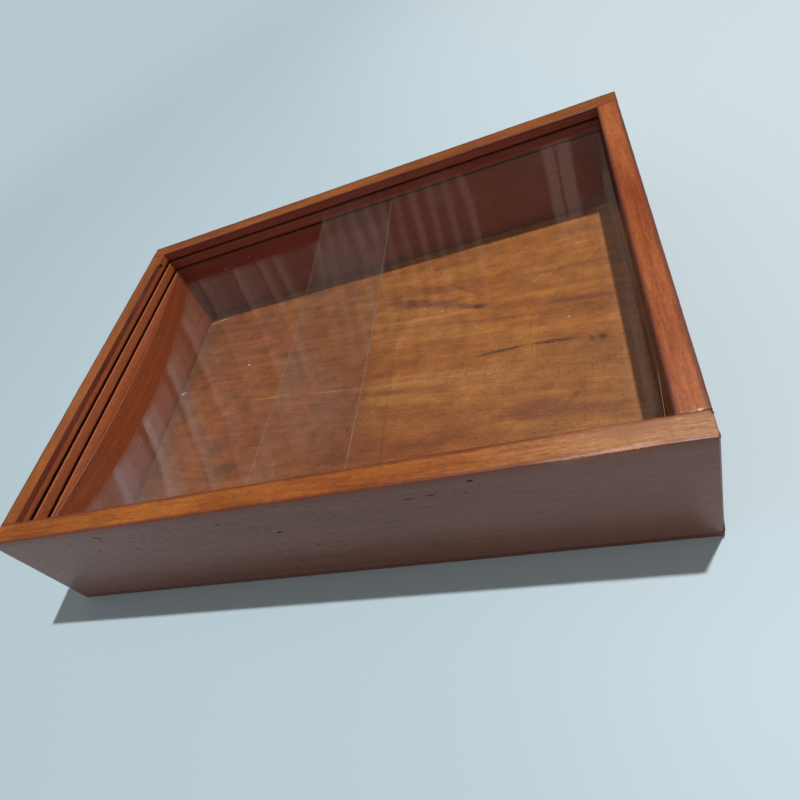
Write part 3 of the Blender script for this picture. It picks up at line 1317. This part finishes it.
def paneFinish(name, pane):
    finish = Finish(name + "ClearPlastic")
    look = paneLook
    place = finish.place()
    x = finish.axes(place)[0]
    facing = finish.node("ShaderNodeLayerWeight", None, {"Blend": 0.5}, "Facing")
    mirrored = look["facing"] + facing ** 4.0 * look["grazing"]
    haze = finish.noise(place, (0.02, 0.02, 0.02), 3.0, 0.6)
    fine = finish.noise(place, (0.5, 0.5, 0.5), 2.0)
    rough = haze.step(0.3, 0.8) * 0.04 + look["gloss"]
    wave = finish.noise(place, (0.012, 0.006, 0.01), 1.0)
    normal = finish.bump(wave, 0.35)
    clear = finish.node("ShaderNodeBsdfTransparent", None, {"Color": look["clear"]})
    # a dark line inside the right end, where the edge turns the light away
    end = pane["left"] + pane["length"]
    first, full = look["shadedFrom"]
    nearEnd = x.step(end - first, end - full) * pane["endShade"]
    shaded = finish.node("ShaderNodeBsdfTransparent", None, {"Color": look["shaded"]})
    clear = finish.node("ShaderNodeMixShader", None, {0: nearEnd, 1: clear, 2: shaded})
    values = {"Color": (1.0, 1.0, 1.0, 1.0), "Roughness": rough, "Normal": normal}
    gloss = finish.node("ShaderNodeBsdfAnisotropic", None, values)
    sheetShader = finish.node("ShaderNodeMixShader", None, {0: mirrored, 1: clear, 2: gloss})
    dust = finish.node("ShaderNodeBsdfDiffuse", None, {"Color": look["dust"], "Roughness": 0.9})
    smear = haze.step(0.45, 0.85) * 0.010 + fine.step(0.68, 0.80) * 0.02 + 0.002
    whole = finish.node("ShaderNodeMixShader", None, {0: smear, 1: sheetShader, 2: dust})
    return finish.finish(whole)


def cutEdgeFinish(name, pane):
    finish = Finish(name + "SawnEdge")
    place = finish.place()
    x, y = finish.axes(place)[:2]
    saw = finish.noise(place, (0.4, 1.4, 0.6), 3.0, 0.6)
    colour = finish.mix(saw, *paneLook["sawnTones"])
    normal = finish.bump(saw, 0.08)
    values = {"Base Color": colour, "Roughness": 0.35 + saw * 0.2, "Normal": normal}
    frosted = finish.node("ShaderNodeBsdfPrincipled", None, values)
    clear = finish.node("ShaderNodeBsdfTransparent", None, {"Color": paneLook["sawnClear"]})
    middle = pane["left"] + pane["length"] / 2
    right = x.step(middle - 1.0, middle + 1.0)
    (leftFace, leftArris), (rightFace, rightArris) = pane["leftEdge"], pane["rightEdge"]
    surface = finish.node("ShaderNodeNewGeometry", out="Normal")
    slanting = abs(finish.axes(surface)[2]).step(0.25, 0.55)
    face = leftFace + right * (rightFace - leftFace)
    arris = leftArris + right * (rightArris - leftArris)
    veil = (face + (arris - face) * slanting) * saw.step(0.3, 0.7, 0.6, 1.3)
    veil = veil * y.step(120.0, -150.0, 0.55, 1.1)
    return finish.finish(finish.node("ShaderNodeMixShader", None, {0: veil, 1: clear, 2: frosted}))


def paneTree(faceMaterial, edgeMaterial):
    labels = ("Left", "Length", "Thickness", "Half Width", "Groove Mouth", "Underside", "Sag", "Arris")
    labels += ("Right Sag", "Cut Depth", "Cut Length")
    tree = Tree("saggingPane", {label: "NodeSocketFloat" for label in labels})
    inputs = [tree.input(label) for label in labels]
    left, length, thick, half, mouth, under, sag, arris, rightSag, cutDepth, cutLength = inputs
    bends = paneLook["bends"]
    start = tree.node("ShaderNodeCombineXYZ", None, {1: tree.sum("MULTIPLY", half, -1.0)})
    gap = tree.sum("MULTIPLY", half, 2.0 / (bends - 1))
    step = tree.node("ShaderNodeCombineXYZ", None, {1: gap})
    values = {"Count": bends, "Start Location": start, "Offset": step}
    line = tree.node("GeometryNodeMeshLine", None, values)
    curve = tree.node("GeometryNodeMeshToCurve", None, {0: line})
    # it hangs as a parabola between the groove mouths and runs straight on inside them
    place = tree.node("GeometryNodeInputPosition")
    y = tree.node("ShaderNodeSeparateXYZ", None, {0: place}, 1)
    across = tree.sum("DIVIDE", tree.sum("ABSOLUTE", y), mouth)
    inside = tree.sum("SUBTRACT", tree.sum("POWER", tree.sum("MINIMUM", across, 1.0), 2.0), 1.0)
    past = tree.sum("MAXIMUM", tree.sum("SUBTRACT", across, 1.0), 0.0)
    hangs = tree.sum("ADD", inside, tree.sum("MULTIPLY", past, 2.0))
    height = tree.sum("ADD", tree.sum("MULTIPLY", hangs, sag), under)
    height = tree.sum("ADD", height, tree.sum("MULTIPLY", thick, 0.5))
    middle = tree.sum("ADD", left, tree.sum("MULTIPLY", length, 0.5))
    move = tree.node("ShaderNodeCombineXYZ", None, {0: middle, 2: height})
    hung = tree.node("GeometryNodeSetPosition", None, {"Geometry": curve, "Offset": move})
    level = tree.node("GeometryNodeSetCurveNormal", {"mode": "Z_UP"}, {0: hung})
    values = {"Width": length, "Height": thick}
    section = tree.node("GeometryNodeCurvePrimitiveQuadrilateral", {"mode": "RECTANGLE"}, values)
    values = {"Curve": section, "Radius": arris, "Count": 2}
    eased = tree.node("GeometryNodeFilletCurve", {"mode": "POLY"}, values)
    values = {"Curve": level, "Profile Curve": eased, "Fill Caps": True}
    swept = tree.node("GeometryNodeCurveToMesh", None, values)
    # the sag changes evenly from the left end to the right end
    x = tree.node("ShaderNodeSeparateXYZ", None, {0: place}, 0)
    along = tree.sum("DIVIDE", tree.sum("SUBTRACT", x, left), length)
    change = tree.sum("MULTIPLY", tree.sum("SUBTRACT", rightSag, sag), along)
    lift = tree.node("ShaderNodeCombineXYZ", None, {2: tree.sum("MULTIPLY", hangs, change)})
    swept = tree.node("GeometryNodeSetPosition", None, {"Geometry": swept, "Offset": lift})
    # the slanting cut draws the right edge in towards the front
    onRight = tree.sum("GREATER_THAN", x, middle)
    depth = tree.sum("SUBTRACT", cutLength, tree.sum("ADD", y, half))
    share = tree.sum("DIVIDE", tree.sum("MAXIMUM", depth, 0.0), cutLength)
    drawIn = tree.sum("MULTIPLY", tree.sum("MULTIPLY", share, cutDepth), -1.0)
    move = tree.node("ShaderNodeCombineXYZ", None, {0: drawIn})
    values = {"Geometry": swept, "Selection": onRight, "Offset": move}
    trimmed = tree.node("GeometryNodeSetPosition", None, values)
    real = tree.node("GeometryNodeRealizeInstances", None, {0: trimmed})
    faced = tree.node("GeometryNodeSetMaterial", None, {"Geometry": real, "Material": faceMaterial})
    normal = tree.node("GeometryNodeInputNormal")
    sideways = tree.sum("ABSOLUTE", tree.node("ShaderNodeSeparateXYZ", None, {0: normal}, 0))
    chosen = tree.sum("GREATER_THAN", sideways, paneLook["sawnFacing"])
    values = {"Geometry": faced, "Selection": chosen, "Material": edgeMaterial}
    tree.end(tree.node("GeometryNodeSetMaterial", None, values))
    return tree


def makePanes():
    for name, pane in panes.items():
        tree = paneTree(paneFinish(name, pane), cutEdgeFinish(name, pane))
        values = {
            "Left": pane["left"] * mm,
            "Length": pane["length"] * mm,
            "Cut Depth": pane["cutDepth"] * mm,
            "Cut Length": pane["cutLength"] * mm,
            "Thickness": paneLook["thickness"] * mm,
            "Half Width": paneLook["halfWidth"] * mm,
            "Groove Mouth": innerHalfWidth * mm,
            "Underside": pane["underside"] * mm,
            "Sag": pane["leftSag"] * mm,
            "Right Sag": pane["rightSag"] * mm,
            "Arris": paneLook["arris"] * mm,
        }
        piece = tree.grow(name, [(0.0, 0.0, 0.0)], values)
        work = bmesh.new()
        work.from_mesh(piece.data)
        bmesh.ops.remove_doubles(work, verts=work.verts[:], dist=1e-6)
        bmesh.ops.recalc_face_normals(work, faces=work.faces[:])
        work.to_mesh(piece.data)
        work.free()
        piece.data.shade_smooth()
        piece.data.set_sharp_from_angle(angle=math.radians(paneLook["sharpDegrees"]))
        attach(piece, pane["node"])
        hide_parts(pane["node"])


makePanes()
print("panes made")


# A plain pale floor, a soft key lamp high at the back right, and a wide fill from the front left
studio = {
    "floorTone": tone(209, 225, 232),
    "floorShade": tone(192, 213, 222),  # further left
    "floorCloud": tone(208, 216, 220),
    "floorHalf": 18.0,
    "keyPlace": (0.728, 0.558, 3.498),
    "keyPower": 388.0,
    "keyRadius": 0.05,
    "fillFrom": (-0.5, -0.6, 1.0),
    "fillStrength": 0.62,
    "fillAngle": 120.0,
    "fillTone": (0.90, 0.97, 1.0),
    "skyTone": (1.0, 0.82, 0.70, 1.0),
    "skyStrength": 0.10,
    "beyondTone": (0.80, 0.86, 0.89, 1.0),
    "farTone": tone(183, 199, 206),
    "farFrom": 700.0,  # mm from the case, where the lit floor's own tone takes over
    "farTo": 1900.0,
}

# Long soft boxes overhead, which the panes mirror: middle x, y, z in metres, length, width,
# turn in degrees, brightness, where 1 is a white sheet in full light, and tone
coolTone = (0.84, 1.0, 0.97)
blueTone = (0.47, 0.74, 1.0)
warmTone = (1.0, 0.80, 0.68)
stripLights = [
    # a broad one and a narrow one over the right end
    (0.005, 3.20, 2.4, 0.32, 0.075, 90.0, 0.26, warmTone),
    (0.105, 3.20, 2.4, 0.32, 0.090, 90.0, 0.26, warmTone),
    (0.330, 2.75, 2.4, 0.9, 0.05, 88.0, 0.26, warmTone),
    (0.262, 2.45, 2.39, 1.3, 0.12, 91.6, 0.15, warmTone),
    (0.285, 2.10, 2.4, 0.5, 0.06, 88.0, 0.14, warmTone),
]
# Broad panels side by side with narrow dark gaps, each brightest along its left edge: middle x
# and y, length, width, turn, brightness, how much brighter the edge is, and both tones
panels = [
    (-3.865, 2.318, 1.5, 0.26, -32.0, 0.15, 0.38, coolTone, blueTone),
    (-3.600, 2.452, 1.5, 0.27, -36.0, 0.20, 0.46, coolTone, blueTone),
    (-3.288, 2.564, 1.5, 0.26, -41.0, 0.18, 0.38, warmTone, coolTone),
    (-3.037, 2.684, 1.5, 0.20, -44.0, 0.09, 0.25, warmTone, coolTone),
    (-2.796, 2.794, 1.5, 0.23, -47.0, 0.07, 0.18, warmTone, warmTone),
    (-2.506, 2.803, 0.9, 0.235, -52.0, 0.045, 0.11, warmTone, warmTone),
    (-2.275, 2.845, 0.9, 0.18, -55.0, 0.06, 0.13, warmTone, warmTone),
    (-2.114, 2.875, 0.9, 0.09, -57.0, 0.05, 0.11, warmTone, warmTone),
    (-2.003, 2.896, 0.9, 0.085, -58.0, 0.05, 0.11, warmTone, warmTone),
]
panelEdges = [(2.39, 0.05, 0.6), (2.38, 0.13, 0.4)]  # height, width, share of the extra light
for x, y, length, width, turn, bright, extra, wholeTone, edgeTone in panels:
    stripLights.append((x, y, 2.4, length, width, turn, bright, wholeTone))
    angle = math.radians(turn)
    for height, edgeWidth, share in panelEdges:
        edgeWidth = min(edgeWidth, width * 0.6)
        side = (edgeWidth - width) / 2
        edgeX = x - math.sin(angle) * side
        edgeY = y + math.cos(angle) * side
        stripLights.append((edgeX, edgeY, height, length, edgeWidth, turn, extra * share, edgeTone))
# and a row of slats between them
slatRow = {
    "firstX": -0.58,
    "gap": 0.12,
    "count": 11,
    "lean": 1.25,  # degrees more with each slat
    "width": 0.045,
    # y, z, length and brightness of the near part and of a fainter one that reaches further
    "parts": [(3.14, 2.4, 0.62, 0.13), (2.95, 2.39, 1.0, 0.05)],
}
for slat in range(slatRow["count"]):
    slatX = slatRow["firstX"] - slat * slatRow["gap"]
    turn = 90.0 + slatRow["lean"] * slat
    for slatY, slatZ, length, bright in slatRow["parts"]:
        bright = bright * (1.0 - 0.35 * ((slat * 5) % 7) / 7)
        stripLights.append((slatX, slatY, slatZ, length, slatRow["width"], turn, bright, warmTone))


def addLamp(name, data, place, direction):
    lamp = bpy.data.objects.new(name, data)
    lamp.location = place
    lamp.rotation_mode = "QUATERNION"
    lamp.rotation_quaternion = Vector(direction).to_track_quat("-Z", "Y")
    bpy.context.scene.collection.objects.link(lamp)
    return lamp


def setStudio():
    key = bpy.data.lights.new("keyLight", "POINT")
    key.energy = studio["keyPower"]
    key.shadow_soft_size = studio["keyRadius"]
    addLamp("keyLight", key, studio["keyPlace"], (0.0, 0.0, -1.0))
    fill = bpy.data.lights.new("fillLight", "SUN")
    fill.energy = studio["fillStrength"]
    fill.angle = math.radians(studio["fillAngle"])
    fill.color = studio["fillTone"]
    away = Vector(studio["fillFrom"])
    # too wide and faint to be mirrored
    addLamp("fillLight", fill, away * 2, -away).visible_glossy = False
    for i, (x, y, z, length, width, turn, bright, lampTone) in enumerate(stripLights):
        data = bpy.data.lights.new("strip%02d" % i, "AREA")
        data.shape = "RECTANGLE"
        data.size = length
        data.size_y = width
        data.energy = bright * math.pi * length * width
        data.color = lampTone
        lamp = bpy.data.objects.new("strip%02d" % i, data)
        lamp.location = (x, y, z)
        lamp.rotation_euler = (0.0, 0.0, math.radians(turn))
        lamp.visible_camera = False
        bpy.context.scene.collection.objects.link(lamp)
    world = bpy.data.worlds.new("studioWorld")
    world.use_nodes = True
    tree = world.node_tree
    tree.nodes.clear()
    path = tree.nodes.new("ShaderNodeLightPath")
    seen = tree.nodes.new("ShaderNodeMath")
    seen.operation = "MAXIMUM"
    tree.links.new(path.outputs["Is Camera Ray"], seen.inputs[0])
    tree.links.new(path.outputs["Is Transmission Ray"], seen.inputs[1])
    sky = tree.nodes.new("ShaderNodeBackground")
    sky.inputs["Color"].default_value = studio["skyTone"]
    sky.inputs["Strength"].default_value = studio["skyStrength"]
    beyond = tree.nodes.new("ShaderNodeBackground")
    beyond.inputs["Color"].default_value = studio["beyondTone"]
    join = tree.nodes.new("ShaderNodeMixShader")
    tree.links.new(seen.outputs[0], join.inputs[0])
    tree.links.new(sky.outputs[0], join.inputs[1])
    tree.links.new(beyond.outputs[0], join.inputs[2])
    end = tree.nodes.new("ShaderNodeOutputWorld")
    tree.links.new(join.outputs[0], end.inputs["Surface"])
    bpy.context.scene.world = world


def makeFloor():
    finish = Finish("paleFloor")
    place = finish.place()
    x, y = finish.axes(place)[:2]
    soft = finish.noise(place, (0.004, 0.004, 0.004), 2.0)
    colour = finish.mix((x + y * 0.3).step(450.0, -100.0), studio["floorTone"], studio["floorShade"])
    colour = finish.mix(soft * 0.12, colour, studio["floorCloud"])
    values = {"Base Color": colour, "Roughness": 0.45, "Specular IOR Level": 0.15}
    lit = finish.node("ShaderNodeBsdfPrincipled", None, values)
    # far off the camera sees an even tone in place of the lamp's falling light
    away = finish.node("ShaderNodeVectorMath", {"operation": "LENGTH"}, {0: place}, "Value")
    seen = finish.node("ShaderNodeLightPath", out="Is Camera Ray")
    for ray in ("Is Glossy Ray", "Is Transmission Ray"):
        seen = seen.orMore(finish.node("ShaderNodeLightPath", out=ray))
    far = away.step(studio["farFrom"], studio["farTo"]) * seen
    values = {"Color": studio["farTone"], "Strength": 1.0}
    even = finish.node("ShaderNodeEmission", None, values)
    material = finish.finish(finish.node("ShaderNodeMixShader", None, {0: far, 1: lit, 2: even}))
    half = studio["floorHalf"]
    corners = [(-half, -half, 0), (half, -half, 0), (half, half, 0), (-half, half, 0)]
    mesh = bpy.data.meshes.new("paleFloor")
    mesh.from_pydata(corners, [], [(0, 1, 2, 3)])
    mesh.materials.append(material)
    floor = bpy.data.objects.new("paleFloor", mesh)
    bpy.context.scene.collection.objects.link(floor)


setStudio()
makeFloor()
print("studio set")
